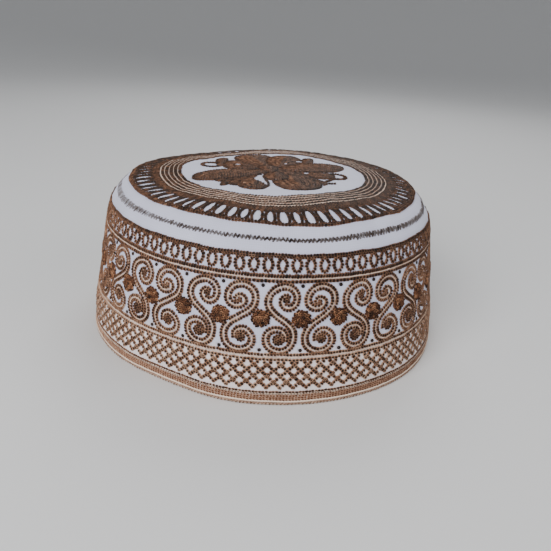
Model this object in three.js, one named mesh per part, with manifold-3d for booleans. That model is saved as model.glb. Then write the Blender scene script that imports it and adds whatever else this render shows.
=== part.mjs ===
import * as THREE from 'three';
import { mergeVertices } from 'three/addons/utils/BufferGeometryUtils.js';
import Module from 'manifold-3d';

// A round, flat-crowned cotton cap, embroidered all over its side band and round its crown.
// Millimetres, +Z up. The hem rests on z = 0 and the cap's axis stands on the origin.
// Angles are in degrees from the front, which is -Y, towards +X.

// Overall size
const HEM_RADIUS = 92.7;
const CAP_HEIGHT = 78.8;

// Cloth: stitched layers in the side band and the crown, and a rolled cord at the hem
const SIDE_WALL = 2.0;
const CROWN_WALL = 1.8;
const HEM_TALL = 2.4;
const HEM_THICK = 2.8;
const SEWN_CLEARANCE = 0.3;

// Embroidery: how far it stands proud of the plain cloth, and the width of its sloping edge
const THREAD_RELIEF = 0.4;
const RELIEF_SLOPE = 1.0;
const MEDALLION_RADIUS = 43.5;

// The side pattern repeats this often, with a pierced eyelet above and below each of its rosettes
const PATTERN_UNITS = 34;
const EYELET_DIAMETER = 1.1;
const EYELET_INSET = 3.0;
const EYELET_SIDES = 6;

// Facets round the cap, two for each unit, so that every eyelet lies in the middle of one
const FACETS = 2 * PATTERN_UNITS;
const FOLD_STEPS = 4;

// Outside of the cap from the table to the middle of the crown, with radii as shares of
// HEM_RADIUS and heights as shares of CAP_HEIGHT
const MERIDIAN = [
  { place: 'hem', out: 1.0, up: 0.0 },
  { place: 'lowerLine', out: 0.973, up: 0.285 },
  { place: 'upperLine', out: 0.9123, up: 0.705 },
  { place: 'bandTop', out: 0.8836, up: 0.8312 },
  { place: 'seam', out: 0.8445, up: 0.887 },
  { place: 'ringOuter', out: 0.7903, up: 0.9435 },
  { place: 'ringMiddle', out: 0.665, up: 0.9725 },
  { place: 'ringInner', out: 0.505, up: 0.987 },
  { place: 'crownMiddle', out: 0.0, up: 1.0 },
];

// Soft dents and swellings. Each is centred at an angle and at a share of the way from hem to
// crown, fades over its spread and reach, and moves the cloth by shares of the radius and height.
const DENTS = [
  { where: 'front left hem pushed in', angle: -28, spread: 23, along: 0.0, reach: 0.32, out: -0.024, up: 0 },
  { where: 'left hem pulled out', angle: -68, spread: 26, along: 0.0, reach: 0.3, out: 0.012, up: 0 },
  { where: 'right hem pushed in', angle: 74, spread: 32, along: 0.0, reach: 0.4, out: -0.02, up: 0 },
  { where: 'right wall pushed in', angle: 96, spread: 64, along: 0.35, reach: 0.42, out: -0.037, up: 0 },
  { where: 'back hem pushed in', angle: 160, spread: 32, along: 0.1, reach: 0.45, out: -0.011, up: 0 },
  { where: 'back left side full', angle: -132, spread: 34, along: 0.3, reach: 0.4, out: 0.009, up: 0 },
  { where: 'left crown full', angle: -90, spread: 70, along: 0.74, reach: 0.2, out: 0.014, up: 0 },
  { where: 'front right crown lifted', angle: 28, spread: 34, along: 0.7, reach: 0.15, out: 0, up: 0.022 },
  { where: 'front left crown sunk', angle: -54, spread: 36, along: 0.7, reach: 0.18, out: 0, up: -0.02 },
  { where: 'front seam dropped', angle: 11, spread: 20, along: 0.56, reach: 0.09, out: 0.004, up: -0.009 },
  { where: 'right seam lifted', angle: 36, spread: 16, along: 0.54, reach: 0.09, out: 0, up: 0.006 },
  { where: 'back left crown sunk', angle: -140, spread: 56, along: 0.65, reach: 0.22, out: 0, up: -0.032 },
  { where: 'back right crown lifted', angle: 118, spread: 30, along: 0.62, reach: 0.16, out: 0, up: 0.004 },
];

// Petals of the flower in the middle of the crown, with reaches as shares of MEDALLION_RADIUS
const PETALS = [
  { angle: -14, reach: 0.84, spread: 24 },
  { angle: 25, reach: 0.86, spread: 24 },
  { angle: 76, reach: 0.74, spread: 30 },
  { angle: 119, reach: 0.96, spread: 30 },
  { angle: 171, reach: 0.92, spread: 28 },
  { angle: -146, reach: 0.98, spread: 28 },
  { angle: -98, reach: 0.78, spread: 28 },
  { angle: -59, reach: 1.0, spread: 26 },
];
const PETAL_VALLEY = 0.64;

// Section of the rolled hem, as shares of HEM_THICK inwards and HEM_TALL upwards
const HEM_SECTION = [
  { inward: 1.0, up: 0.0 },
  { inward: 0.25, up: 0.0 },
  { inward: 0.06, up: 0.2 },
  { inward: 0.0, up: 0.5 },
  { inward: 0.06, up: 0.8 },
  { inward: 0.25, up: 1.0 },
  { inward: 1.0, up: 1.0 },
];

const COTTON = { color: 0xdcdce4, roughness: 0.9, metalness: 0 };
const HEM_COTTON = { color: 0xb79c86, roughness: 0.9, metalness: 0 };

const SAMPLES_PER_SPAN = 24;
const meridian = new THREE.CatmullRomCurve3(
  MERIDIAN.map((row) => new THREE.Vector3(row.out * HEM_RADIUS, 0, row.up * CAP_HEIGHT)),
  false,
  'centripetal',
);
meridian.arcLengthDivisions = SAMPLES_PER_SPAN * (MERIDIAN.length - 1);
const meridianLength = meridian.getLength();

// Distance along the meridian, from the table to a named place
function distanceTo(place) {
  const index = MERIDIAN.findIndex((row) => row.place === place);
  return meridian.getLengths()[index * SAMPLES_PER_SPAN];
}

// 1 in the middle of a dent or petal, falling smoothly to 0 at its edge
function fade(offset) {
  const share = Math.min(Math.abs(offset), 1);
  return Math.cos(share * Math.PI / 2) ** 2;
}

function angleBetween(a, b) {
  return THREE.MathUtils.euclideanModulo(a - b + 180, 360) - 180;
}

// A point of the cap once its dents are in. The hem stays on the table.
function dented(angle, radius, height) {
  const along = (height / CAP_HEIGHT + 1 - radius / HEM_RADIUS) / 2;
  let out = 0;
  let up = 0;
  for (const dent of DENTS) {
    const strength = fade(angleBetween(angle, dent.angle) / dent.spread)
      * fade((along - dent.along) / dent.reach);
    out += dent.out * HEM_RADIUS * strength;
    up += dent.up * CAP_HEIGHT * strength;
  }
  const turn = THREE.MathUtils.degToRad(angle);
  const reach = radius + out;
  return new THREE.Vector3(reach * Math.sin(turn), -reach * Math.cos(turn), height + up);
}

// A point at a distance along the meridian that stands proud of the cloth's outside
function capPoint(angle, distance, proud) {
  const share = THREE.MathUtils.clamp(distance / meridianLength, 0, 1);
  const point = meridian.getPointAt(share);
  const tangent = meridian.getTangentAt(share);
  const onAxis = share === 1;
  const radius = onAxis ? 0 : point.x + proud * tangent.z;
  const height = onAxis ? point.z + proud : point.z - proud * tangent.x;
  return dented(angle, radius, height);
}

// Distances spaced evenly from one end to the other, both included
function spaced(from, to, count) {
  return Array.from({ length: count }, (_, i) => THREE.MathUtils.lerp(from, to, i / (count - 1)));
}

// Rings at these distances, all equally proud of the cloth
function ringsAt(distances, proud) {
  return distances.map((distance) => (angle) => capPoint(angle, distance, proud));
}

// Rings round the folded edge of a wall, from its outside to its inside. The fold's middle lies
// at a distance along the meridian and it bulges forwards (1) or backwards (-1) along it.
function foldedEdge(distance, wall, direction) {
  const rings = [];
  for (let i = 1; i < FOLD_STEPS; i += 1) {
    const turn = Math.PI * i / FOLD_STEPS;
    const bulge = direction * wall / 2 * Math.sin(turn);
    const proud = -wall / 2 * (1 - Math.cos(turn));
    rings.push((angle) => capPoint(angle, distance + bulge, proud));
  }
  return rings;
}

// A closed skin through rings that follow each other round a wall. Facets that shrink to
// nothing on the axis are left out.
function skin(rings) {
  const positions = [];
  for (const ring of rings) {
    for (let i = 0; i < FACETS; i += 1) {
      positions.push(...ring((i + 0.5) * 360 / FACETS).toArray());
    }
  }
  const corners = [];
  for (let r = 0; r < rings.length; r += 1) {
    const next = (r + 1) % rings.length;
    for (let i = 0; i < FACETS; i += 1) {
      const j = (i + 1) % FACETS;
      const [a, b] = [r * FACETS + i, r * FACETS + j];
      const [c, d] = [next * FACETS + j, next * FACETS + i];
      corners.push(a, b, c, a, c, d);
    }
  }
  const grid = new THREE.BufferGeometry();
  grid.setAttribute('position', new THREE.Float32BufferAttribute(positions, 3));
  grid.setIndex(corners);
  const merged = mergeVertices(grid, 1e-4);
  const index = Array.from(merged.getIndex().array);
  const kept = [];
  for (let i = 0; i < index.length; i += 3) {
    const [a, b, c] = index.slice(i, i + 3);
    if (a !== b && b !== c && c !== a) {
      kept.push(a, b, c);
    }
  }
  merged.setIndex(kept);
  return merged;
}

const wasm = await Module();
wasm.setup();

function solidOf(geometry) {
  const closed = geometry.clone();
  closed.deleteAttribute('normal');
  closed.deleteAttribute('uv');
  const merged = mergeVertices(closed, 1e-4);
  return new wasm.Manifold(new wasm.Mesh({
    numProp: 3,
    vertProperties: new Float32Array(merged.getAttribute('position').array),
    triVerts: new Uint32Array(merged.getIndex().array),
  }));
}

function geometryOf(solid) {
  const mesh = solid.getMesh();
  const geometry = new THREE.BufferGeometry();
  geometry.setAttribute('position', new THREE.Float32BufferAttribute(mesh.vertProperties, 3));
  geometry.setIndex(Array.from(mesh.triVerts));
  return geometry;
}

// The round bit that pierces one eyelet, from outside the thread to inside the wall
function eyeletDrill(angle, distance) {
  const outside = capPoint(angle, distance, 2 * THREAD_RELIEF);
  const inside = capPoint(angle, distance, -SIDE_WALL - THREAD_RELIEF);
  const way = new THREE.Vector3().subVectors(outside, inside);
  const radius = EYELET_DIAMETER / 2;
  const bit = new THREE.CylinderGeometry(radius, radius, way.length(), EYELET_SIDES);
  const turn = new THREE.Quaternion().setFromUnitVectors(
    new THREE.Vector3(0, 1, 0),
    way.clone().normalize(),
  );
  bit.applyQuaternion(turn);
  const middle = new THREE.Vector3().addVectors(outside, inside).multiplyScalar(0.5);
  bit.translate(middle.x, middle.y, middle.z);
  return bit;
}

const SIDE_ROWS = 10;
const SHOULDER_ROWS = 3;
const LINING_ROWS = 6;

// The side band's lower edge, cut level just above the rolled hem
function footRing(proud) {
  const level = HEM_TALL + SEWN_CLEARANCE;
  return (angle) => capPoint(angle, level, proud).setZ(level);
}

// Side band: embroidered up to its white shoulder, with a folded top edge and pierced eyelets
function sideBand() {
  const fold = distanceTo('seam') - (SIDE_WALL + SEWN_CLEARANCE) / 2;
  const bandTop = distanceTo('bandTop');
  const rings = [
    footRing(THREAD_RELIEF),
    ...ringsAt(spaced(bandTop / SIDE_ROWS, bandTop, SIDE_ROWS), THREAD_RELIEF),
    ...ringsAt(spaced(bandTop + RELIEF_SLOPE, fold, SHOULDER_ROWS), 0),
    ...foldedEdge(fold, SIDE_WALL, 1),
    ...ringsAt(spaced(fold, bandTop / LINING_ROWS, LINING_ROWS), -SIDE_WALL),
    footRing(-SIDE_WALL),
  ];
  let solid = solidOf(skin(rings));
  for (let unit = 0; unit < PATTERN_UNITS; unit += 1) {
    const angle = unit * 360 / PATTERN_UNITS;
    const lower = eyeletDrill(angle, distanceTo('lowerLine') + EYELET_INSET);
    const upper = eyeletDrill(angle, distanceTo('upperLine') - EYELET_INSET);
    solid = solid.subtract(solidOf(lower)).subtract(solidOf(upper));
  }
  return geometryOf(solid);
}

const RING_ROWS = 6;
const MEDALLION_ROWS = 4;
const CROWN_LINING_ROWS = 7;

// Radius of the flower's outline at an angle
function medallionOutline(angle) {
  let share = PETAL_VALLEY;
  for (const petal of PETALS) {
    const strength = fade(angleBetween(angle, petal.angle) / petal.spread);
    share = Math.max(share, THREE.MathUtils.lerp(PETAL_VALLEY, petal.reach, strength));
  }
  return share * MEDALLION_RADIUS;
}

// A ring that follows the flower's outline, grown or shrunk by a share and then by a margin
function petalRing(share, margin, proud) {
  return (angle) => {
    const radius = share * medallionOutline(angle) + margin;
    return capPoint(angle, meridianLength - radius, proud);
  };
}

// Crown: a folded edge at the seam, a white margin, the embroidered ring, a plain white disc
// and the embroidered flower in the middle
function crownTop() {
  const fold = distanceTo('seam') + (CROWN_WALL + SEWN_CLEARANCE) / 2;
  const ringOuter = distanceTo('ringOuter');
  const ringInner = distanceTo('ringInner');
  const petals = spaced(1, 0, MEDALLION_ROWS).map((share) => petalRing(share, 0, THREAD_RELIEF));
  const lining = spaced(meridianLength, fold, CROWN_LINING_ROWS);
  const rings = [
    ...ringsAt(spaced(fold, ringOuter - RELIEF_SLOPE, SHOULDER_ROWS), 0),
    ...ringsAt(spaced(ringOuter, ringInner, RING_ROWS), THREAD_RELIEF),
    ...ringsAt([ringInner + RELIEF_SLOPE], 0),
    petalRing(1, RELIEF_SLOPE, 0),
    ...petals,
    ...ringsAt(lining, -CROWN_WALL),
    ...foldedEdge(fold, CROWN_WALL, -1).reverse(),
  ];
  return skin(rings);
}

// Hem: the rolled edge that the cap stands on, flat underneath
function hemBinding() {
  const rings = HEM_SECTION.map((corner) => (angle) => dented(
    angle,
    HEM_RADIUS - corner.inward * HEM_THICK,
    corner.up * HEM_TALL,
  ));
  return skin(rings);
}

function piece(name, geometry, finish) {
  const mesh = new THREE.Mesh(geometry, new THREE.MeshStandardMaterial(finish));
  mesh.name = name;
  return mesh;
}

const cap = new THREE.Group();
cap.add(piece('side_band', sideBand(), COTTON));
cap.add(piece('crown_top', crownTop(), COTTON));
cap.add(piece('hem_binding', hemBinding(), HEM_COTTON));

export default cap;
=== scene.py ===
import math

import bmesh
import bpy
import numpy as np
from mathutils import Matrix, Vector


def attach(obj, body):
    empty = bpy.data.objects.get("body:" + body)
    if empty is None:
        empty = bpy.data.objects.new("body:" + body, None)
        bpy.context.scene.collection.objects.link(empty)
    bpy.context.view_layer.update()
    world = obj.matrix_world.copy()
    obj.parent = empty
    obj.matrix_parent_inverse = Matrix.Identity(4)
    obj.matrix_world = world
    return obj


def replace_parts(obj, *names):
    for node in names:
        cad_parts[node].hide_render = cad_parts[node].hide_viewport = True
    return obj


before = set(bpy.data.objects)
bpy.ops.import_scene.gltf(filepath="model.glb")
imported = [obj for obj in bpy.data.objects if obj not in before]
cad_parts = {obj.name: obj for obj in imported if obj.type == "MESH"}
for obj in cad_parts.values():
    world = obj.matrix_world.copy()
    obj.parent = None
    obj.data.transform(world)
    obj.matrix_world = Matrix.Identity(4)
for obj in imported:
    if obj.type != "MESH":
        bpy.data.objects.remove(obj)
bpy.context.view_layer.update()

# A round embroidered cap: cotton cloth, and every stitch laid on it.
# Lengths here are millimetres. Meshes are made in metres. Angles round the cap are degrees
# from the front (-Y) towards +X. Two flat charts hold the pattern. On the side chart, x runs
# round the cap and y is the height. On the crown chart, x and y are the plan seen from above.

MM = 0.001
rng = np.random.default_rng(7)

# Overall size and cloth, as in the solid model
HEM_RADIUS = 92.7
CAP_HEIGHT = 78.8
SIDE_WALL = 2.0
CROWN_WALL = 1.8
HEM_TALL = 2.4
HEM_THICK = 2.8
PATTERN_UNITS = 34
EYELET_DIAMETER = 1.1
EYELET_INSET = 3.0

# Radius that the side chart is measured at
CHART_RADIUS = 87.5
AROUND = 2 * math.pi * CHART_RADIUS

# Outside of the cap from the table to the middle of the crown: shares of radius and height
MERIDIAN = [
    ("hem", 1.0, 0.0),
    ("lower_line", 0.973, 0.285),
    ("upper_line", 0.9123, 0.705),
    ("band_top", 0.8836, 0.8312),
    ("seam", 0.8445, 0.887),
    ("ring_outer", 0.7903, 0.9435),
    ("ring_middle", 0.665, 0.9725),
    ("ring_inner", 0.505, 0.987),
    ("crown_middle", 0.0, 1.0),
]

# Dents and swellings: angle, spread, place along the meridian, reach, move out, move up
DENTS = [
    (-28, 23, 0.0, 0.32, -0.024, 0.0),
    (-68, 26, 0.0, 0.3, 0.012, 0.0),
    (74, 32, 0.0, 0.4, -0.02, 0.0),
    (96, 64, 0.35, 0.42, -0.037, 0.0),
    (160, 32, 0.1, 0.45, -0.011, 0.0),
    (-132, 34, 0.3, 0.4, 0.009, 0.0),
    (-90, 70, 0.74, 0.2, 0.014, 0.0),
    (28, 34, 0.7, 0.15, 0.0, 0.022),
    (-54, 36, 0.7, 0.18, 0.0, -0.02),
    (11, 20, 0.56, 0.09, 0.004, -0.009),
    (36, 16, 0.54, 0.09, 0.0, 0.006),
    (-140, 56, 0.65, 0.22, 0.0, -0.032),
    (118, 30, 0.62, 0.16, 0.0, 0.004),
]

# Puckers that the stitching pulls into the cloth: waves round the cap, wavelength up the
# meridian, phase and size
PUCKERS = [
    (17, 23.0, 0.4, 0.14),
    (41, 15.0, 2.1, 0.09),
    (68, 11.0, 4.0, 0.06),
    (7, 37.0, 5.2, 0.16),
]

# Length over which the puckers die away at the hem and at the crown's middle
PUCKER_MARGIN = 12

SAMPLES_PER_SPAN = 64


def smooth_line(points, steps=8, power=0.0):
    """A Catmull-Rom curve through points: uniform, or centripetal where the power is 0.5."""
    places = np.array(points, float)
    ends = 2 * places[[0, -1]] - places[[1, -2]]
    run = np.vstack([ends[:1], places, ends[1:]])
    t = (np.arange(steps) / steps)[:, None]
    spans = []
    for p0, p1, p2, p3 in zip(run, run[1:], run[2:], run[3:]):
        d0, d1, d2 = (np.linalg.norm(b - a) ** power for a, b in ((p0, p1), (p1, p2), (p2, p3)))
        leave = ((p1 - p0) / d0 - (p2 - p0) / (d0 + d1) + (p2 - p1) / d1) * d1
        arrive = ((p2 - p1) / d1 - (p3 - p1) / (d1 + d2) + (p3 - p2) / d2) * d1
        square = 3 * (p2 - p1) - 2 * leave - arrive
        cube = 2 * (p1 - p2) + leave + arrive
        spans.append(p1 + leave * t + square * t**2 + cube * t**3)
    return np.vstack(spans + [places[-1:]])


def walked_along(line):
    """How far each point of a line is from its start, along the line."""
    return np.concatenate([[0], np.cumsum(np.linalg.norm(np.diff(line, axis=0), axis=1))])


LINE = smooth_line(
    [(out * HEM_RADIUS, up * CAP_HEIGHT) for _, out, up in MERIDIAN], SAMPLES_PER_SPAN, 0.5,
)
DISTANCE = walked_along(LINE)
LENGTH = DISTANCE[-1]
SLOPE = np.gradient(LINE, DISTANCE, axis=0)


def distance_to(place):
    index = [name for name, _, _ in MERIDIAN].index(place)
    return DISTANCE[index * SAMPLES_PER_SPAN]


def distance_at_height(height):
    return np.interp(height, LINE[:, 1], DISTANCE)


def distance_at_radius(radius):
    """Distance along the meridian to a radius on the crown."""
    crown = DISTANCE >= distance_to("band_top")
    return np.interp(-radius, -LINE[crown, 0], DISTANCE[crown])


def fade(offset):
    return np.cos(np.minimum(np.abs(offset), 1) * math.pi / 2) ** 2


def angle_between(a, b):
    return (a - b + 180) % 360 - 180


def dented(angle, radius, height):
    """Points in metres once the dents are in."""
    along = (height / CAP_HEIGHT + 1 - radius / HEM_RADIUS) / 2
    out = np.zeros(np.broadcast(angle, radius).shape)
    up = np.zeros_like(out)
    for at, spread, middle, reach, move_out, move_up in DENTS:
        strength = fade(angle_between(angle, at) / spread) * fade((along - middle) / reach)
        out = out + move_out * HEM_RADIUS * strength
        up = up + move_up * CAP_HEIGHT * strength
    turn = np.radians(angle)
    reach = radius + out
    return MM * np.stack([reach * np.sin(turn), -reach * np.cos(turn), height + up], -1)


def pucker(angle, distance):
    """How far the stitching pulls the cloth in or out."""
    size = 0.0
    for waves, length, phase, height in PUCKERS:
        up = np.sin(2 * math.pi * distance / length + phase)
        size = size + height * up * np.sin(np.radians(waves * angle) + 2 * phase)
    from_end = np.minimum(distance, LENGTH - distance)
    return size * np.clip(from_end / PUCKER_MARGIN, 0, 1)


# How far the side pattern is shifted, and how far it drifts from even places
SIDE_SHIFT = -0.9
SIDE_DRIFT = 1.8


def drifted(x):
    """The side chart's place of what an even pattern would have at x."""
    return x + SIDE_SHIFT + SIDE_DRIFT * np.sin(x / CHART_RADIUS)


def on_cap(angle, distance, proud):
    """Points in metres that stand proud of the cloth's outside, by angle and distance."""
    radius, height = (np.interp(distance, DISTANCE, LINE[:, k]) for k in (0, 1))
    out, up = (np.interp(distance, DISTANCE, SLOPE[:, k]) for k in (0, 1))
    stand = proud + pucker(angle, distance)
    reach = np.where(distance >= LENGTH, 0.0, radius + stand * up)
    return dented(angle, reach, height - stand * out)


# The crown ring lies further out near an angle: how far, its spread, and the share by radius
CROWN_DRIFT = 4.3
CROWN_DRIFT_ANGLE = 18
CROWN_DRIFT_SPREAD = 60
CROWN_DRIFT_RADII = (47, 57.5, 61.5, 69.6, 71.5, 72.6, 75)
CROWN_DRIFT_SHARES = (0, 0.35, 0.56, 0.47, 0.24, 0.12, 0)


def from_side(x, y, proud):
    """Points on the cap from the side chart."""
    return on_cap(np.degrees(x / CHART_RADIUS), distance_at_height(y), proud)


def from_crown(x, y, proud):
    """Points on the cap from the crown chart."""
    angle, radius = np.degrees(np.arctan2(x, -y)), np.hypot(x, y)
    near = fade(angle_between(angle, CROWN_DRIFT_ANGLE) / CROWN_DRIFT_SPREAD)
    further = CROWN_DRIFT * near * np.interp(radius, CROWN_DRIFT_RADII, CROWN_DRIFT_SHARES)
    return on_cap(angle, distance_at_radius(radius + further), proud)


# Mesh making

def new_object(name, data):
    made = bpy.data.objects.new(name, data)
    bpy.context.scene.collection.objects.link(made)
    return made


def new_piece(name, points, corners, counts, material, maps, flat=None, values=None):
    """An object from joined arrays: points, the corners of all faces and how many each has."""
    mesh = bpy.data.meshes.new(name)
    mesh.vertices.add(len(points))
    mesh.vertices.foreach_set("co", points.astype(np.float32).ravel())
    mesh.loops.add(len(corners))
    mesh.loops.foreach_set("vertex_index", corners.astype(np.int32))
    mesh.polygons.add(len(counts))
    starts = np.concatenate([[0], np.cumsum(counts)[:-1]])
    mesh.polygons.foreach_set("loop_start", starts.astype(np.int32))
    smooth = np.ones(len(counts), bool) if flat is None else ~flat
    mesh.polygons.foreach_set("use_smooth", smooth)
    for title, places in maps.items():
        layer = mesh.uv_layers.new(name=title, do_init=False)
        layer.uv.foreach_set("vector", places.astype(np.float32).ravel())
    for title, numbers in (values or {}).items():
        layer = mesh.attributes.new(title, "FLOAT", "POINT")
        layer.data.foreach_set("value", numbers.astype(np.float32))
    mesh.update(calc_edges=True)
    mesh.materials.append(material)
    piece = new_object(name, mesh)
    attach(piece, "root")
    return piece


# Materials

def set_inputs(node, values):
    for title, value in values.items():
        node.inputs[title].default_value = value


def nodes_of(name):
    material = bpy.data.materials.new(name)
    material.use_nodes = True
    tree = material.node_tree
    return material, tree, tree.nodes["Principled BSDF"]


def add(tree, kind, **settings):
    """A new node. A setting is one of its own properties or else the value of an input."""
    node = tree.nodes.new(kind)
    for title, value in settings.items():
        if hasattr(node, title):
            setattr(node, title, value)
        else:
            node.inputs[title].default_value = value
    return node


def ramp(tree, source, stops):
    """A colour ramp of (place, colour) stops over a number."""
    node = tree.nodes.new("ShaderNodeValToRGB")
    stop_list = node.color_ramp.elements
    while len(stop_list) < len(stops):
        stop_list.new(0.5)
    for stop, (place, colour) in zip(stop_list, stops):
        stop.position = place
        stop.color = (*colour, 1)
    tree.links.new(source, node.inputs["Fac"])
    return node.outputs["Color"]


def multiplied(tree, a, b):
    node = add(tree, "ShaderNodeMix", data_type="RGBA", blend_type="MULTIPLY", Factor=1.0)
    tree.links.new(a, node.inputs["A"])
    tree.links.new(b, node.inputs["B"])
    return node.outputs["Result"]


def bumped(tree, shader, height, strength, distance):
    node = add(tree, "ShaderNodeBump", Strength=strength, Distance=distance)
    tree.links.new(height, node.inputs["Height"])
    tree.links.new(node.outputs["Normal"], shader.inputs["Normal"])


def noise(tree, scale, detail):
    """The object's own coordinates, and a noise over them."""
    place = add(tree, "ShaderNodeTexCoord").outputs["Object"]
    node = add(tree, "ShaderNodeTexNoise", Scale=scale, Detail=detail)
    tree.links.new(place, node.inputs["Vector"])
    return place, node.outputs["Fac"]


def thread(name, colours, hollow, roughness):
    """Embroidery thread. Each stitch has its own tone. Its hollow gets painted shade in the colour
    hollow, and its sunk rim gets part of it.
    """
    material, tree, shader = nodes_of(name)
    tone = add(tree, "ShaderNodeAttribute", attribute_name="tone")
    depth = add(tree, "ShaderNodeAttribute", attribute_name="depth")
    stops = list(zip(np.linspace(0, 1, len(colours)), colours))
    own = ramp(tree, tone.outputs["Fac"], stops)
    # Painted shade: full in each stitch's hollow, part way on its rim, none on its ridge
    shade = ramp(tree, depth.outputs["Fac"], [(0.0, hollow), (0.66, hollow), (0.9, (1.0,) * 3)])
    tree.links.new(multiplied(tree, own, shade), shader.inputs["Base Color"])
    _, grain = noise(tree, 2600.0, 2.0)
    bumped(tree, shader, grain, 0.5, 0.00012)
    set_inputs(shader, {"Roughness": roughness, "Specular IOR Level": 0.22})
    return material


WEAVE_SCALE = 0.32

# Shares of the cap's height between which the cloth takes on its painted upper shade
UPPER_SHADE_SHARES = (0.27, 0.36)


def cotton(name, colours, mottle, upper=(1.0, 1.0, 1.0)):
    """Plain woven cotton: warp and weft from the chart map, mottled between two colours, with
    painted shade in the weave's gaps, and multiplied by upper from the scrolls up as painted
    shade."""
    material, tree, shader = nodes_of(name)
    chart = add(tree, "ShaderNodeUVMap", uv_map="Chart")
    cross = add(tree, "ShaderNodeMath", operation="MULTIPLY")
    for way, socket in zip(("X", "Y"), cross.inputs):
        wave = add(
            tree, "ShaderNodeTexWave", wave_type="BANDS", bands_direction=way, Scale=WEAVE_SCALE,
        )
        tree.links.new(chart.outputs["UV"], wave.inputs["Vector"])
        tree.links.new(wave.outputs["Fac"], socket)
    place, cloud = noise(tree, mottle, 5.0)
    tint = ramp(tree, cloud, list(zip((0.3, 0.7), colours)))
    # Painted shade: the weave's gaps between warp and weft made 7% darker
    gap_shade = ramp(tree, cross.outputs["Value"], [(0.0, (0.93,) * 3), (0.6, (1.0,) * 3)])
    split = add(tree, "ShaderNodeSeparateXYZ")
    tree.links.new(place, split.inputs["Vector"])
    share = add(tree, "ShaderNodeMath", operation="MULTIPLY")
    share.inputs[1].default_value = 1 / (CAP_HEIGHT * MM)
    tree.links.new(split.outputs["Z"], share.inputs[0])
    # Painted shade: the cloth darker and bluer above the scrolls, by height
    painted_upper_shade = ramp(tree, share.outputs["Value"], list(zip(UPPER_SHADE_SHARES, ((1.0,) * 3, upper))))
    woven = multiplied(tree, tint, gap_shade)
    tree.links.new(multiplied(tree, woven, painted_upper_shade), shader.inputs["Base Color"])
    bumped(tree, shader, cross.outputs["Value"], 0.35, 0.0001)
    set_inputs(shader, {
        "Roughness": 0.88, "Sheen Weight": 0.25, "Sheen Roughness": 0.6, "Specular IOR Level": 0.2,
    })
    return material


def srgb(red, green, blue):
    """Linear colour from 0-255 numbers."""
    share = np.array([red, green, blue]) / 255
    linear = np.where(share <= 0.04045, share / 12.92, ((share + 0.055) / 1.055) ** 2.4)
    return tuple(float(c) for c in linear)


WHITES = [srgb(232, 221, 221), srgb(244, 233, 232)]
# Painted shade: upper makes the white cloth darker and bluer from the scrolls up
WHITE_COTTON = cotton("white_cotton", WHITES, 60.0, upper=(0.7, 0.79, 0.98))
HEM_COTTON = cotton("hem_cotton", [srgb(164, 132, 114), srgb(208, 178, 158)], 900.0)

# Threads from their darkest tone to their lightest. The colour after each list is the painted
# shade of its stitches' hollows.
HOLLOW_SHADE = (0.05, 0.05, 0.06)
BROWNS = [srgb(56, 40, 31), srgb(104, 72, 54), srgb(144, 104, 79), srgb(186, 150, 124)]
BROWN_THREAD = thread("brown_thread", BROWNS, HOLLOW_SHADE, 0.6)
RUSTS = [srgb(42, 27, 20), srgb(88, 55, 38), srgb(134, 86, 58), srgb(184, 134, 98)]
RUST_THREAD = thread("rust_thread", RUSTS, HOLLOW_SHADE, 0.6)
GREYS = [srgb(44, 36, 34), srgb(88, 76, 71), srgb(130, 123, 124), srgb(168, 167, 176)]
SEAM_THREAD = thread("seam_thread", GREYS, (0.4, 0.4, 0.4), 0.65)
CREAMS = [srgb(132, 104, 88), srgb(192, 166, 150), srgb(236, 214, 196)]
CREAM_THREAD = thread("cream_thread", CREAMS, (0.25, 0.2, 0.17), 0.65)
TANS = [srgb(148, 108, 86), srgb(188, 148, 122), srgb(216, 180, 154)]
TAN_THREAD = thread("tan_thread", TANS, (0.26, 0.18, 0.14), 0.65)

# Cloth

COLUMNS_PER_UNIT = 8
COLUMNS = COLUMNS_PER_UNIT * PATTERN_UNITS
FOLD_STEPS = 8
FOLD_SQUARENESS = 0.5
SEAM_GAP = 0.04
FOOT = HEM_TALL + 0.02
HOLE_SIDES = 8

# The cloth's own part of its bake sheet. The eyelets' tubes have a row in the rest of it.
SHEET_SHARE = 0.96
TUBE_ROW = (0.968, 0.992)
TUBE_FILL = 0.9


def squared_off(share, power):
    return np.sign(share) * np.abs(share) ** power


def fold_rings(distance, wall, direction):
    """Distances and heights of the rings round a folded edge, from outside to inside."""
    turn = math.pi * np.arange(1, FOLD_STEPS) / FOLD_STEPS
    bulge = np.sin(turn) ** FOLD_SQUARENESS
    drop = 1 - squared_off(np.cos(turn), FOLD_SQUARENESS)
    return np.column_stack([distance + direction * wall / 2 * bulge, -wall / 2 * drop])


def rings_at(distances, proud):
    return np.column_stack(np.broadcast_arrays(distances, float(proud)))


class Skin:
    """Rings of the cap's wall joined by quads, with the maps that the cloth needs."""

    def __init__(self, rings):
        self.rings = rings
        places = self.chart_x(np.arange(COLUMNS))
        self.points = on_cap(
            np.degrees(places / CHART_RADIUS), rings[:, :1], rings[:, 1:],
        ).reshape(-1, 3)
        self.walked = walked_along(rings)
        self.total = self.walked[-1] + SIDE_WALL
        self.loops = []

    def chart_x(self, column):
        return drifted(AROUND * column / COLUMNS)

    def corner(self, ring, column):
        """Index, chart place and bake place of a grid corner. Ring and column may pass the last
        one, and a column the first."""
        wrapped = ring % len(self.rings)
        index = wrapped * COLUMNS + column % COLUMNS
        walked = self.walked[wrapped] if ring == wrapped else self.total
        sheet = (max(column, 0) / COLUMNS, SHEET_SHARE * walked / self.total)
        return index, (self.chart_x(column), walked), sheet

    def face(self, corners):
        self.loops += corners
        return len(corners)


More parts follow.
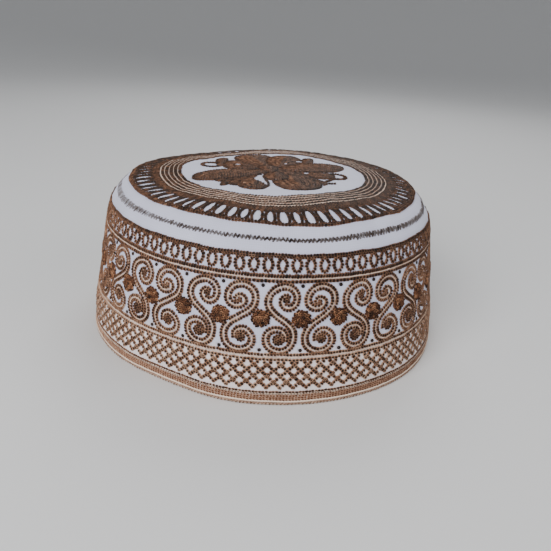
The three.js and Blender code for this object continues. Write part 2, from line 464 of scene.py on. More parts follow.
def cloth(name, skin, open_rings, holes):
    """Joins a skin's rings into a closed wall, but for the rings in open_rings, and pierces it.
    A hole is a pair of rings, outside and inside, and a column."""
    counts = []
    left_out = {(ring, column) for ring in open_rings for column in range(COLUMNS)}
    for outer, inner, column in holes:
        for ring in (outer, inner):
            left_out.update((ring + r, (column + c) % COLUMNS) for r in (-1, 0) for c in (-1, 0))
    for ring in range(len(skin.rings)):
        for column in range(COLUMNS):
            if (ring, column) not in left_out:
                around = [(0, 0), (0, 1), (1, 1), (1, 0)]
                counts.append(skin.face([skin.corner(ring + r, column + c) for r, c in around]))
    for number, hole in enumerate(holes):
        counts += pierce(skin, number / len(holes), TUBE_FILL / HOLE_SIDES / len(holes), *hole)
    corners, chart, sheet = (np.array(part) for part in zip(*skin.loops))
    used = np.unique(corners)
    return new_piece(
        name, skin.points[used], np.searchsorted(used, corners), np.array(counts),
        WHITE_COTTON, maps={"Chart": chart, "OFBake": sheet},
    )


# Corners of the four quads round an eyelet, and the directions of its own points towards them
BLOCK = [(-1, -1), (-1, 0), (-1, 1), (0, 1), (1, 1), (1, 0), (1, -1), (0, -1)]
HOLE_TURNS = np.radians([225, 270, 315, 0, 45, 90, 135, 180])
HOLE_SUNK = 0.1


def pierce(skin, left, span, outer, inner, column):
    """One round eyelet through both faces of the wall. Its tube's faces lie on the bake sheet
    from left on, each a span wide. Returns its faces' numbers of corners."""
    counts, edges = [], []
    radius = EYELET_DIAMETER / 2
    right, up = radius * np.cos(HOLE_TURNS), radius * np.sin(HOLE_TURNS)
    x = skin.chart_x(column) + right
    for ring, way, proud in ((outer, 1, -HOLE_SUNK), (inner, -1, -SIDE_WALL)):
        places = on_cap(np.degrees(x / CHART_RADIUS), skin.rings[ring, 0] + way * up, proud)
        first = len(skin.points)
        skin.points = np.vstack([skin.points, places])
        y = skin.walked[ring] + up
        sheet = np.maximum(column / COLUMNS + right / AROUND, 0), SHEET_SHARE * y / skin.total
        edge = list(zip(range(first, first + HOLE_SIDES), zip(x, y), zip(*sheet)))
        border = [skin.corner(ring + r, column + c) for r, c in BLOCK]
        for k in range(HOLE_SIDES):
            after = (k + 1) % HOLE_SIDES
            counts.append(skin.face([border[k], border[after], edge[after], edge[k]]))
        edges.append(edge)
    low, high = TUBE_ROW
    for k in range(HOLE_SIDES):
        after = (k + 1) % HOLE_SIDES
        # The inner edge runs the other way round
        opposite, opposite_after = ((HOLE_SIDES - 2 - i) % HOLE_SIDES for i in (k, after))
        tube = [edges[0][k], edges[0][after], edges[1][opposite_after], edges[1][opposite]]
        start, end = left + k * span, left + (k + 1) * span
        spots = [(start, low), (end, low), (end, high), (start, high)]
        counts.append(skin.face([(i, c, spot) for (i, c, _), spot in zip(tube, spots)]))
    return counts


def spaced(start, end, step):
    return np.linspace(start, end, max(2, 1 + round(abs(end - start) / step)))


EYELET_DISTANCES = (
    distance_to("lower_line") + EYELET_INSET, distance_to("upper_line") - EYELET_INSET,
)
EYELET_MARGIN = 1.3
SIDE_ROW_STEP = 1.7
CROWN_ROW_STEP = 1.9


def side_cloth():
    """The side band's wall, with an eyelet above and below each rosette."""
    fold = distance_to("seam") - (SIDE_WALL + SEAM_GAP) / 2
    rows = []
    start = distance_at_height(FOOT)
    for eyelet in EYELET_DISTANCES:
        rows += [*spaced(start, eyelet - EYELET_MARGIN, SIDE_ROW_STEP), eyelet]
        start = eyelet + EYELET_MARGIN
    rows = np.array([*rows, *spaced(start, fold, SIDE_ROW_STEP)])
    back = rings_at(rows[::-1], -SIDE_WALL)
    rings = np.vstack([rings_at(rows, 0), fold_rings(fold, SIDE_WALL, 1), back])
    skin = Skin(rings)
    last = len(rings) - 1
    for ring in (0, last):
        skin.points[ring * COLUMNS:(ring + 1) * COLUMNS, 2] = FOOT * MM
    holes = []
    for distance in EYELET_DISTANCES:
        ring = int(np.argmin(np.abs(rows - distance)))
        holes += [(ring, last - ring, column) for column in range(0, COLUMNS, COLUMNS_PER_UNIT)]
    return cloth("side_cloth", skin, [], holes)


def crown_cloth():
    """The crown's wall: its folded edge, the outside to the middle, and the inside back."""
    fold = distance_to("seam") + (CROWN_WALL + SEAM_GAP) / 2
    rows = spaced(fold, LENGTH, CROWN_ROW_STEP)
    back = rings_at(rows[::-1], -CROWN_WALL)
    rings = np.vstack([rings_at(rows, 0), back, fold_rings(fold, CROWN_WALL, -1)[::-1]])
    middle = len(rows) - 1
    piece = cloth("crown_cloth", Skin(rings), [middle], [])
    shape = bmesh.new()
    shape.from_mesh(piece.data)
    bmesh.ops.remove_doubles(shape, verts=shape.verts, dist=1e-6)
    shape.to_mesh(piece.data)
    shape.free()
    return piece


HEM_SECTION_POINTS = 14
HEM_ROUNDNESS = 2.6
HEM_GIRTH = 2 * (HEM_THICK + HEM_TALL) * 0.85


def hem_roll():
    """The rolled edge that the cap stands on: a flattened round, level underneath."""
    turn = 2 * math.pi * (np.arange(HEM_SECTION_POINTS) + 0.5) / HEM_SECTION_POINTS
    across = squared_off(np.cos(turn), 2 / HEM_ROUNDNESS)
    up = squared_off(np.sin(turn), 2 / HEM_ROUNDNESS)
    across, up = across / across.max(), up / up.max()
    angles = 360 * np.arange(COLUMNS) / COLUMNS
    radius = HEM_RADIUS - HEM_THICK * (1 - across) / 2
    height = HEM_TALL * (1 + up) / 2
    points = dented(angles, radius[:, None], height[:, None]).reshape(-1, 3)
    ring, column = np.divmod(np.arange(HEM_SECTION_POINTS * COLUMNS), COLUMNS)
    around = [(ring + r, column + c) for r, c in ((0, 0), (0, 1), (1, 1), (1, 0))]
    corners = np.stack(
        [(r % HEM_SECTION_POINTS) * COLUMNS + c % COLUMNS for r, c in around], 1,
    ).ravel()
    sheet = np.stack([
        np.stack([c / COLUMNS, r / HEM_SECTION_POINTS], -1) for r, c in around
    ], 1).reshape(-1, 2)
    return new_piece(
        "hem_roll", points, corners, np.full(len(ring), 4), HEM_COTTON,
        maps={"Chart": sheet * (AROUND, HEM_GIRTH), "OFBake": sheet},
    )


# Stitches. One is a closed teardrop mound with a hollow in it: a rim in the cloth, a ridge and
# the hollow's floor. A table of stitches has a row for each, with these columns.

X, Y, HEADING, LONG, WIDE, RISE, TONE = range(7)
SIDES = 8
SQUARENESS = 0.62
RIDGE_SHARE = 0.8
FLOOR_RISE = 0.3
FLOOR_BACK = -0.04
LEAN = 0.16
TAPER = 0.1
SUNK = 0.15
OVERLAP = 1.1
TONE_SPREAD = 0.16


def stitch_shape():
    """Corners of one stitch (along, across, up), and how much light each gets."""
    turn = 2 * math.pi * np.arange(SIDES) / SIDES
    cos, sin = np.cos(turn).round(6), np.sin(turn).round(6)
    long = squared_off(cos, SQUARENESS) / 2
    wide = squared_off(sin, SQUARENESS) * (1 + TAPER * cos) / 2
    rim = np.column_stack([long, wide, np.zeros(SIDES)])
    ridge = np.column_stack([RIDGE_SHARE * long, RIDGE_SHARE * wide, 1 + 2 * LEAN * long])
    floor = [[FLOOR_BACK, 0, FLOOR_RISE]]
    # Painted shade: the rim sunk in the cloth 0.8, the ridge 1, the hollow's floor 0
    light = np.concatenate([np.full(SIDES, 0.8), np.ones(SIDES), [0.0]])
    return np.vstack([rim, ridge, floor]), light


def stitch_faces():
    """Corners of one stitch's faces, how many each has, and their bake places in a unit tile."""
    pairs = [(k, (k + 1) % SIDES) for k in range(SIDES)]
    faces = [[k, after, SIDES + after, SIDES + k] for k, after in pairs]
    faces += [[SIDES + k, SIDES + after, 2 * SIDES] for k, after in pairs]
    faces.append(list(range(SIDES))[::-1])
    shape, _ = stitch_shape()
    plan = 0.08 + 0.76 * (shape[:, :2] / (1, 1 + TAPER) + 0.5)
    tile = [plan[i] for face in faces[:-1] for i in face]
    tile += [(0.88 + 0.1 * plan[i, 0], 0.88 + 0.1 * plan[i, 1]) for i in faces[-1]]
    return np.concatenate(faces), np.array([len(face) for face in faces]), np.array(tile)


def stitch_table(*columns):
    """A table of stitches from its seven columns. A single number holds for every stitch."""
    return np.column_stack(np.broadcast_arrays(*columns))


def embroidered(name, stitches, to_cap, material=BROWN_THREAD):
    """One joined mesh of all the stitches in a table, laid on the cap by to_cap."""
    shape, light = stitch_shape()
    corners, counts, tile = stitch_faces()
    number = len(stitches)
    cos, sin = np.cos(stitches[:, HEADING]), np.sin(stitches[:, HEADING])
    along = shape[:, 0] * stitches[:, LONG, None]
    across = shape[:, 1] * stitches[:, WIDE, None]
    x = stitches[:, X, None] + along * cos[:, None] - across * sin[:, None]
    y = stitches[:, Y, None] + along * sin[:, None] + across * cos[:, None]
    proud = shape[:, 2] * (stitches[:, RISE, None] + SUNK) - SUNK
    points = to_cap(x.ravel(), y.ravel(), proud.ravel())
    offsets = np.repeat(np.arange(number) * len(shape), len(corners))
    side = math.ceil(math.sqrt(number))
    place = np.stack([np.arange(number) % side, np.arange(number) // side], 1)
    sheet = (tile[None] + place[:, None]) / side
    tone = np.clip(stitches[:, TONE] + rng.normal(0, TONE_SPREAD, number), 0, 1)
    is_base = np.tile(counts == SIDES, number)
    # Each corner carries its painted shade from stitch_shape to the thread material
    return new_piece(
        name, points, np.tile(corners, number) + offsets, np.tile(counts, number), material,
        maps={"OFBake": sheet.reshape(-1, 2)}, flat=is_base,
        values={"tone": np.repeat(tone, len(shape)), "depth": np.tile(light, number)},
    )


def marks_along(line, pitch, fewest):
    """Even marks along a line of chart points, about a pitch apart."""
    walked = walked_along(line)
    stops = np.linspace(0, walked[-1], 1 + max(fewest, round(walked[-1] / pitch)))
    return np.column_stack([np.interp(stops, walked, line[:, k]) for k in (0, 1)])


def stitch_row(line, pitch, wide, rise, tone, overlap=OVERLAP):
    """Even stitches along a line of chart points."""
    marks = marks_along(line, pitch, 1)
    middle = (marks[:-1] + marks[1:]) / 2
    step = np.diff(marks, axis=0)
    long = overlap * np.linalg.norm(step, axis=1)
    return stitch_table(*middle.T, np.arctan2(step[:, 1], step[:, 0]), long, wide, rise, tone)


def stitch_rows(rows, line_at):
    """Stitches of rows given by place, wobble, pitch, width, rise and tone."""
    return np.vstack([stitch_row(line_at(at, wobble), *looks) for at, wobble, *looks in rows])


def unsteady(stitches, shift=0.05, turn=0.08, size=0.06):
    """The same stitches with small unevenness: in place, heading and size."""
    moved = stitches.copy()
    number = len(stitches)
    moved[:, :HEADING] += rng.normal(0, shift, (number, 2))
    moved[:, HEADING] += rng.normal(0, turn, number)
    moved[:, LONG:TONE] *= 1 + rng.normal(0, size, (number, 3)).clip(-0.2, 0.2)
    return moved


def moved_by(stitches, x=0.0, y=0.0, mirrored=False):
    """The same stitches shifted on the chart, and first mirrored left to right if asked."""
    moved = stitches.copy()
    if mirrored:
        moved[:, X] *= -1
        moved[:, HEADING] = math.pi - moved[:, HEADING]
    moved[:, X] += x
    moved[:, Y] += y
    return moved


def outside(stitches, x, y, wide, tall, turn=0.0):
    """The stitches whose middles lie outside an ellipse that is turned by so many degrees."""
    cos, sin = math.cos(math.radians(turn)), math.sin(math.radians(turn))
    right, up = stitches[:, X] - x, stitches[:, Y] - y
    off = np.hypot((right * cos + up * sin) / wide, (up * cos - right * sin) / tall)
    return stitches[off > 1]


def beside(line, offset):
    """A line that runs beside another, to its left by an offset that may change along it."""
    way = np.gradient(line, axis=0)
    way /= np.linalg.norm(way, axis=1, keepdims=True)
    return line + np.column_stack([-way[:, 1], way[:, 0]]) * np.reshape(offset, (-1, 1))


def level_line(height, wobble=0.05):
    """Once round the side chart at a height. Each height starts elsewhere, so that rows beside
    each other don't match."""
    x = 7 * height + np.linspace(0, AROUND, 601)
    turn = 2 * math.pi * x / AROUND
    return np.column_stack([x, height + wobble * (np.sin(13 * turn + height) + np.sin(29 * turn))])


def polar(radius, turn):
    """Points of the crown chart by radius and angle in radians."""
    return np.column_stack([radius * np.sin(turn), -radius * np.cos(turn)])


def ring_line(radius, wobble=0.08):
    """Once round the crown chart at a radius."""
    turn = radius + np.linspace(0, 2 * math.pi, 501)
    return polar(radius + wobble * (np.sin(11 * turn + radius) + np.sin(23 * turn)), turn)


# Cream thread that lies between the brown rows, as closed strips with a rounded top

STRIP_SECTION = np.array([(-0.5, -0.2), (0.5, -0.2), (0.42, 0.6), (0.0, 1.0), (-0.42, 0.6)])
STRIP_STEP = 0.9


def strips(name, lines, to_cap, wide, rise, closed, tones):
    """One joined mesh of strips along lines of chart points. A closed line ends where it began."""
    points, corners, counts, shades, sheets = [], [], [], [], []
    total = 0
    around = len(STRIP_SECTION)
    for number, line in enumerate(lines):
        marks = marks_along(line, STRIP_STEP, 3)
        way = np.gradient(marks, axis=0)
        way /= np.linalg.norm(way, axis=1, keepdims=True)
        if closed:
            marks, way = marks[:-1], way[:-1]
        across, up = STRIP_SECTION.T * [[wide], [rise]]
        x = marks[:, :1] - way[:, 1:] * across
        y = marks[:, 1:] + way[:, :1] * across
        points.append(to_cap(x.ravel(), y.ravel(), np.broadcast_to(up, x.shape).ravel()))
        rings = len(marks)
        first = np.arange(rings if closed else rings - 1)
        after = (first + 1) % rings
        left, right = first / len(first), (first + 1) / len(first)
        for k in range(around):
            j = (k + 1) % around
            quad = [first * around + j, after * around + j, after * around + k, first * around + k]
            corners.append(total + np.stack(quad, 1).ravel())
            counts.append(np.full(len(first), 4))
            low, high = (np.full(len(first), number + (k + s) / around) for s in (0.05, 0.95))
            spot = [(left, high), (right, high), (right, low), (left, low)]
            sheets.append(np.stack([np.stack(place, 1) for place in spot], 1).reshape(-1, 2))
        if not closed:
            for ring, order in ((0, -1), (rings - 1, 1)):
                corners.append(total + ring * around + np.arange(around)[::order])
                counts.append(np.array([around]))
                sheets.append(np.tile([[0.001, number + 0.01]], (around, 1)))
        shades.append(np.repeat(rng.uniform(*tones, rings), around))
        total += rings * around
    return new_piece(
        name, np.concatenate(points), np.concatenate(corners), np.concatenate(counts),
        CREAM_THREAD, maps={"OFBake": np.concatenate(sheets) / (1, len(lines))},
        values={"tone": np.concatenate(shades), "depth": np.ones(total)},
    )


# The scrolls: an S of two chain rows in each unit, of two kinds by turns. A kind's middle line
# goes from its upper core to its lower one, measured from the unit's middle. Each core has a
# place and a radius.

UNIT = AROUND / PATTERN_UNITS
SCROLL_KINDS = [{
    "line": [
        (2.9, 47.4), (1.8, 48.5), (0.1, 47.4), (0.1, 45.3), (2.3, 43.6), (4.9, 44.6),
        (6.0, 47.0), (5.5, 49.8), (3.5, 51.9), (0.7, 52.5), (-2.3, 51.6), (-4.7, 49.5),
        (-5.8, 46.4), (-5.1, 43.5), (-2.7, 40.8), (0.5, 38.5), (3.2, 36.3), (4.9, 33.4),
        (5.1, 30.6), (4.1, 27.6), (2.0, 25.6), (-0.7, 25.1), (-3.5, 26.0), (-5.5, 28.1),
        (-6.1, 31.1), (-4.8, 33.5), (-2.0, 34.6), (0.8, 33.8), (2.1, 31.5), (1.8, 29.4),
    ],
    "cores": [(1.7, 46.9, 1.5), (-0.9, 30.2, 2.5)],
}, {
    "line": [
        (-1.7, 45.3), (-2.4, 46.4), (-0.8, 47.6), (1.1, 46.3), (0.6, 44.5), (-1.9, 43.5),
        (-4.6, 44.2), (-5.8, 46.0), (-5.7, 48.3), (-4.4, 50.7), (-2.0, 52.2), (0.6, 52.5),
        (3.0, 51.7), (4.9, 49.9), (5.7, 47.5), (5.4, 44.9), (4.1, 42.6), (1.8, 40.8),
        (-0.9, 38.9), (-3.6, 37.0), (-5.4, 35.0), (-6.4, 32.9), (-6.6, 30.3), (-5.8, 27.8),
        (-4.0, 25.9), (-1.4, 25.0), (1.4, 25.2), (3.7, 26.4), (5.0, 28.4), (5.0, 30.8),
        (3.7, 32.8), (1.4, 34.2), (-0.9, 33.6), (-2.2, 31.7), (-1.9, 29.6),
    ],
    "cores": [(-0.7, 45.9, 1.0), (0.4, 30.4, 2.1)],
}]
ROW_OFFSET = 1.03
LEAST_OFFSET = 0.6
CLOSING_LENGTH = 6.0
SCROLL_RISE = 0.5

# Pitch, width, rise and tone
SCROLL_LOOKS = (1.27, 1.72, SCROLL_RISE, 0.6)
CORE_TONE = 0.4
CORE_INSET = 0.5
CORE_PITCH = 1.1
CORE_ROW_STEP = 0.95


def scroll_rows(kind):
    """The two rows of a scroll, nearer to each other at its ends, and its middle line."""
    line = smooth_line(kind["line"])
    walked = walked_along(line)
    from_end = np.minimum(walked, walked[-1] - walked)
    offset = np.interp(from_end, (0, CLOSING_LENGTH), (LEAST_OFFSET, ROW_OFFSET))
    rows = [stitch_row(beside(line, way * offset), *SCROLL_LOOKS) for way in (-1, 1)]
    return np.vstack(rows), line


def filled_core(x, y, radius):
    """Short stitches in rings that fill the middle of a spiral."""
    rings = []
    while radius > CORE_INSET:
        reach = radius - CORE_INSET
        count = max(3, round(2 * math.pi * reach / CORE_PITCH))
        turn = 2 * math.pi * np.arange(count) / count + radius
        rings.append(stitch_table(
            x + reach * np.cos(turn), y + reach * np.sin(turn), turn + 0.9,
            1.4, 1.3, SCROLL_RISE, CORE_TONE,
        ))
        radius -= CORE_ROW_STEP
    return np.vstack([*rings, (x, y, 0.8, 1.2, 1.1, SCROLL_RISE, CORE_TONE)])


ROSETTE_HEIGHT = 39.1
ROSETTE_WIDE = 4.15
ROSETTE_TALL = 4.0
ROSETTE_STITCHES = 64
ROSETTE_EDGE = 0.8
ROSETTE_SHIFT = -0.3
GOLDEN_TURN = 2.4

# How far a scroll's rows reach into a core and into a rosette
CORE_MARGIN = 0.4
ROSETTE_MARGIN = 0.3


def rosette():
    """A round filled with radial stitches of many tones, darkest at its edge."""
    number = np.arange(ROSETTE_STITCHES)
    share = 0.9 * np.sqrt((number + 0.5) / ROSETTE_STITCHES)
    turn = GOLDEN_TURN * number
    edge = share > ROSETTE_EDGE
    return stitch_table(
        share * ROSETTE_WIDE * np.cos(turn),
        ROSETTE_HEIGHT + share * ROSETTE_TALL * np.sin(turn),
        turn + rng.normal(0, 0.25, ROSETTE_STITCHES),
        np.where(edge, 1.3, 1.7),
        1.05,
        rng.uniform(SCROLL_RISE, SCROLL_RISE + 0.25, ROSETTE_STITCHES),
        np.where(edge, 0.25, rng.uniform(0.1, 1.0, ROSETTE_STITCHES)),
    )


def scrolls():
    """All the scrolls, the cream thread inside them and the rosettes between them."""
    rows, creams, rounds, kinds = [], [], [], []
    for kind in SCROLL_KINDS:
        stitches, line = scroll_rows(kind)
        cores = [filled_core(*core) for core in kind["cores"]]
        for x, y, radius in kind["cores"]:
            reach = radius - CORE_MARGIN
            stitches = outside(stitches, x, y, reach, reach)
        kinds.append((np.vstack([stitches, *cores]), line))
    for unit in range(PATTERN_UNITS):
        middle = drifted((unit + 0.5) * UNIT) + rng.normal(0, 0.1)
        stitches, line = kinds[unit % 2]
        placed = moved_by(stitches, x=middle, y=rng.normal(0, 0.08))
        for edge in (unit, unit + 1):
            placed = outside(
                placed, drifted(edge * UNIT), ROSETTE_HEIGHT,
                ROSETTE_WIDE - ROSETTE_MARGIN, ROSETTE_TALL - ROSETTE_MARGIN,
            )
        rows.append(unsteady(placed))
        creams.append(line + (middle, 0))
        place = drifted(unit * UNIT) + ROSETTE_SHIFT + rng.normal(0, 0.15)
        here = moved_by(rosette(), x=place, y=rng.normal(0, 0.1))
        rounds.append(unsteady(here))
    embroidered("scroll_stitches", np.vstack(rows), from_side)
    strips("scroll_cream", creams, from_side, 0.55, 0.26, closed=False, tones=(0.5, 1.0))
    embroidered("rosette_stitches", np.vstack(rounds), from_side, RUST_THREAD)


# The band of loops under the white shoulder

LOOPS = 92
LOOP_STEP = AROUND / LOOPS
FIRST_LOOP = 0.12
LOOP_SIDE = smooth_line([
    (0.65, 63.3), (1.3, 62.8), (1.8, 61.9), (1.95, 60.9), (1.8, 59.9), (1.25, 59.0), (0.7, 58.0),
])

# Lines beside the loops: height, wobble, pitch, width, rise and tone
ABOVE_LOOPS = [(64.7, 0.1, 1.35, 1.45, 0.55, 0.25), (63.9, 0.1, 1.3, 1.2, 0.5, 0.45)]
BELOW_LOOPS = [(54.45, 0.05, 1.6, 1.75, 0.5, 0.45)]


def uprights(pitch, height, heading, *looks):
    """Stitches side by side all round the side chart, by their heading in degrees."""
    count = round(AROUND / pitch)
    x = AROUND * np.arange(count) / count
    return stitch_table(x, height, math.radians(heading), *looks)


def loop_band():
    """White ovals, each between two chain rows that meet in filled peaks above and below it."""
    side = stitch_row(LOOP_SIDE, pitch=1.3, wide=1.9, rise=0.55, tone=0.5)
    fills = np.array([
        (0.0, 63.4, 1.57, 1.3, 1.1, 0.5, 0.5),
        (0.0, 58.0, 1.57, 1.5, 1.0, 0.5, 0.5),
    ])
    loop = np.vstack([side, moved_by(side, mirrored=True), fills])
    loops = [
        unsteady(moved_by(loop, x=(k + FIRST_LOOP) * LOOP_STEP, y=rng.normal(0, 0.07)))
        for k in range(LOOPS)
    ]
    embroidered("loop_stitches", np.vstack(loops), from_side)
    borders = [
        stitch_rows(ABOVE_LOOPS, level_line),
        uprights(1.22, 56.5, 72, 2.1, 1.4, 0.5, 0.4),
        stitch_rows(BELOW_LOOPS, level_line),
    ]
    embroidered("upper_border_stitches", unsteady(np.vstack(borders)), from_side)


# The lattice between the scrolls and the hem

LATTICE_COLUMNS = 102
LATTICE_STEP = AROUND / LATTICE_COLUMNS
LATTICE_TOP = 20.7
LATTICE_FOOT = 8.2
LATTICE_NODE = 16.4
LATTICE_RISE_STEP = 2.62

# Lines over and under the lattice, and those of the hem: height, wobble, pitch, width, rise, tone
LOWER_BORDERS = [
    (23.7, 0.05, 1.3, 1.5, 0.5, 0.72),
    (21.45, 0.05, 1.5, 1.5, 0.5, 0.85),
    (6.5, 0.05, 1.35, 1.0, 0.4, 0.55),
    (1.45, 0.05, 1.3, 0.6, 0.3, 0.8),
]
HEM_BAND = [(height, 0.05, 1.3, 1.12, 0.42, 0.36) for height in (4.85, 3.9, 2.98)]


def lattice():
    """Crossing rows of stitches that leave white diamonds."""
    lean = LATTICE_STEP / 2 / LATTICE_RISE_STEP
    rows = []
    for column in range(LATTICE_COLUMNS):
        middle = column * LATTICE_STEP
        for way in (-1, 1):
            ends = [
                (middle + way * lean * (height - LATTICE_NODE), height)
                for height in (LATTICE_TOP, LATTICE_FOOT)
            ]
            rows.append(stitch_row(np.array(ends), pitch=1.35, wide=1.9, rise=0.5, tone=0.8))
    embroidered("lattice_stitches", unsteady(np.vstack(rows), shift=0.07), from_side)


def lower_borders():
    """The lines over and under the lattice, the hem's tan rows and its whipping."""
    borders = unsteady(stitch_rows(LOWER_BORDERS, level_line))
    embroidered("lower_border_stitches", borders, from_side)
    band = unsteady(stitch_rows(HEM_BAND, level_line))
    embroidered("hem_band_stitches", band, from_side, TAN_THREAD)
    whipped = unsteady(uprights(1.5, 0.85, 58, 1.4, 0.6, 0.3, 1.0), turn=0.2)
    embroidered("hem_stitches", whipped, from_side)


def cream_lines():
    """The cream lines round the side band: laid thread, and a chain near the hem."""
    lines = [level_line(55.45), level_line(22.6)]
    strips("side_cream", lines, from_side, 0.5, 0.42, closed=True, tones=(0.6, 1.0))
    lines = [level_line(2.2)]
    strips("hem_cream", lines, from_side, 0.9, 0.6, closed=True, tones=(0.9, 1.0))
    chain = unsteady(stitch_row(level_line(5.7), 1.25, 0.9, 0.4, 0.75))
    embroidered("hem_cream_stitches", chain, from_side, CREAM_THREAD)


WHIPS = 7
WHIP_RADIUS = 0.48


def eyelet_edges():
    """Dark whip stitches round each eyelet."""
    turn = 2 * math.pi * np.arange(WHIPS) / WHIPS
    ring = stitch_table(
        WHIP_RADIUS * np.cos(turn), WHIP_RADIUS * np.sin(turn), turn, 0.65, 0.5, 0.25, 0.0,
    )
    heights = np.interp(EYELET_DISTANCES, DISTANCE, LINE[:, 1])
    rings = [
        moved_by(ring, x=drifted(unit * UNIT), y=height)
        for unit in range(PATTERN_UNITS) for height in heights
    ]
    embroidered("eyelet_stitches", np.vstack(rings), from_side)


# The crown: a ring of windows, chain lines inside it, and the flower

WINDOWS = 80
WINDOW_STEP = 360 / WINDOWS

# One edge of a bar between two windows: its radii, and how far it lies from the bar's middle
BAR_REACH = np.array([61.3, 62.8, 64.6, 67.8, 69.4, 70.8])
BAR_SPLAY = np.array([1.45, 0.95, 0.65, 0.65, 0.95, 1.5])

# The bars' greatest slant in degrees, and the angle and spread of the place where they slant
BAR_SLANT = 0.9
SLANT_ANGLE = 30
SLANT_SPREAD = 45

# Where the bars' ends are filled: radius, and the share of the slant
BAR_FILLS = ((61.6, 0.0), (70.5, 1.0))

# Chain rows round the crown: radius, wobble, pitch, width, rise and tone
CROWN_BORDERS = [
    (radius, wobble, 1.35, 1.45, 0.55, tone) for radius, wobble, tone in (
        (72.6, 0.18, 0.28), (71.5, 0.1, 0.24), (61.2, 0.08, 0.12), (60.45, 0.08, 0.24),
        (59.7, 0.08, 0.14), (58.95, 0.08, 0.24), (58.2, 0.08, 0.14),
    )
]
CROWN_LINES = [(radius, 0.08, 1.45, 1.95, 0.5, 0.12) for radius in (56.2, 54.0, 51.8, 49.6, 47.4)]

# How much lighter the chain lines are near an angle
LIGHTENING = 0.18
LIGHTENED_ANGLE = -6
LIGHTENED_SPREAD = 50


def crown_ladder():
    """Radial bars between white windows: two rows each, splayed where they meet the borders."""
    rows = []
    for k in range(WINDOWS):
        angle = (k + 0.5) * WINDOW_STEP + rng.normal(0, 0.09)
        slant = BAR_SLANT * fade(angle_between(angle, SLANT_ANGLE) / SLANT_SPREAD)
        slant += rng.normal(0, 0.12)
        for way in (-1, 1):
            turned = angle + slant * (BAR_REACH - BAR_REACH[0]) / np.ptp(BAR_REACH)
            turned += np.degrees(way * BAR_SPLAY / BAR_REACH)
            edge = polar(BAR_REACH, np.radians(turned))
            rows.append(stitch_row(edge, 1.35, wide=1.45, rise=0.56, tone=0.06, overlap=1.3))
        for radius, share in BAR_FILLS:
            ends = polar(radius + np.array([-0.8, 0.8]), np.radians(angle + slant * share))
            rows.append(stitch_row(ends, 1.4, wide=1.2, rise=0.5, tone=0.2))
    embroidered("crown_ladder_stitches", unsteady(np.vstack(rows)), from_crown)


def crown_rings():
    """The borders of the ladder, and the chain lines with cream thread between them."""
    borders = unsteady(stitch_rows(CROWN_BORDERS, ring_line))
    embroidered("crown_border_stitches", borders, from_crown)
    lines = stitch_rows(CROWN_LINES, ring_line)
    angle = np.degrees(np.arctan2(lines[:, X], -lines[:, Y]))
    lines[:, TONE] += LIGHTENING * fade((angle - LIGHTENED_ANGLE) / LIGHTENED_SPREAD)
    embroidered("crown_line_stitches", unsteady(lines), from_crown)
    outermost = [ring_line(57.2)]
    strips("crown_edge_cream", outermost, from_crown, 0.8, 0.5, closed=True, tones=(0.5, 0.9))
    creams = [ring_line(radius) for radius in (55.1, 52.9, 50.7, 48.5)]
    strips("crown_cream", creams, from_crown, 0.46, 0.56, closed=True, tones=(0.3, 0.7))


# Petals of the flower, the uppermost first: the base's x and y, the tip's x and y, and the width
PETALS = [
    (-1.0, -6.0, -6.0, 9.0, 11.0),
    (0.5, -3.5, 1.0, -21.0, 13.0),
    (-9.0, -15.0, -9.5, -37.5, 15.0),
    (-10.0, -16.0, -19.5, -31.5, 9.5),
    (5.0, -1.0, 15.5, -35.5, 23.0),
    (2.0, 2.0, 36.5, 18.5, 19.0),
    (-2.0, -3.0, -39.0, -20.0, 16.0),
    (-8.0, -9.0, -28.0, -24.0, 12.0),
    (1.0, 4.0, 6.0, 38.5, 19.0),
    (-3.0, 3.0, -17.0, 38.0, 22.0),
    (8.0, -12.0, 25.5, -23.0, 12.0),
    (12.0, -4.0, 31.0, -6.0, 12.0),
    (-4.0, 4.0, -27.0, 10.0, 22.0),
    (14.0, 12.0, 19.0, 34.5, 7.0),
    (-28.0, 2.0, -29.5, 25.0, 6.5),
    (-21.5, -22.0, -23.5, -33.0, 4.0),
    (0.0, -20.0, 0.0, 22.0, 38.0),
]

# White places left in the flower: middle, width, height and turn in degrees
FLOWER_GAPS = [
    (-6.8, -13.5, 1.8, 7.5, -18.0),
    (-7.0, -19.0, 4.4, 6.5, 8.0),
    (-4.6, -25.0, 1.8, 7.0, 25.0),
    (-19.3, 7.9, 1.8, 2.6, 0.0),
    (5.2, 16.0, 1.4, 3.0, 0.0),
    (13.0, 25.0, 1.8, 4.0, 0.0),
    (16.2, -2.5, 1.8, 2.8, 0.0),
]
PETAL_SWELL = 0.25
PETAL_EDGE = 0.6
PETAL_ROW_STEP = 1.25
GAP_MARGIN = 0.6

# Curled tendrils: middle, radius, and the degrees where they start and that they turn through
TENDRILS = [(-33.0, 5.5, 4.6, 60, 300), (31.5, -4.5, 4.8, 130, -300)]
TAIL = np.array([(31.0, -9.0), (28.0, -13.0), (24.5, -17.0), (24.5, -18.6), (30.5, -18.6)])


def petal_frame(petal):
    """A petal's middle, the ways along and across it, and half its length and width."""
    base, tip = np.array(petal[:2]), np.array(petal[2:4])
    length = np.linalg.norm(tip - base)
    way = (tip - base) / length
    return (base + tip) / 2, way, np.array([-way[1], way[0]]), length / 2, petal[4] / 2


def petal_line(petal, inset):
    """A petal's outline drawn in by an inset, or None where nothing is left of it."""
    middle, way, side, half_long, half_wide = petal_frame(petal)
    if half_wide - inset < -0.5:
        return None
    turn = np.linspace(0, 2 * math.pi, 91)
    along = (half_long - inset) * np.cos(turn)
    across = max(half_wide - inset, 0.05) * (1 + PETAL_SWELL * np.cos(turn)) * np.sin(turn)
    return middle + np.outer(along, way) + np.outer(across, side)


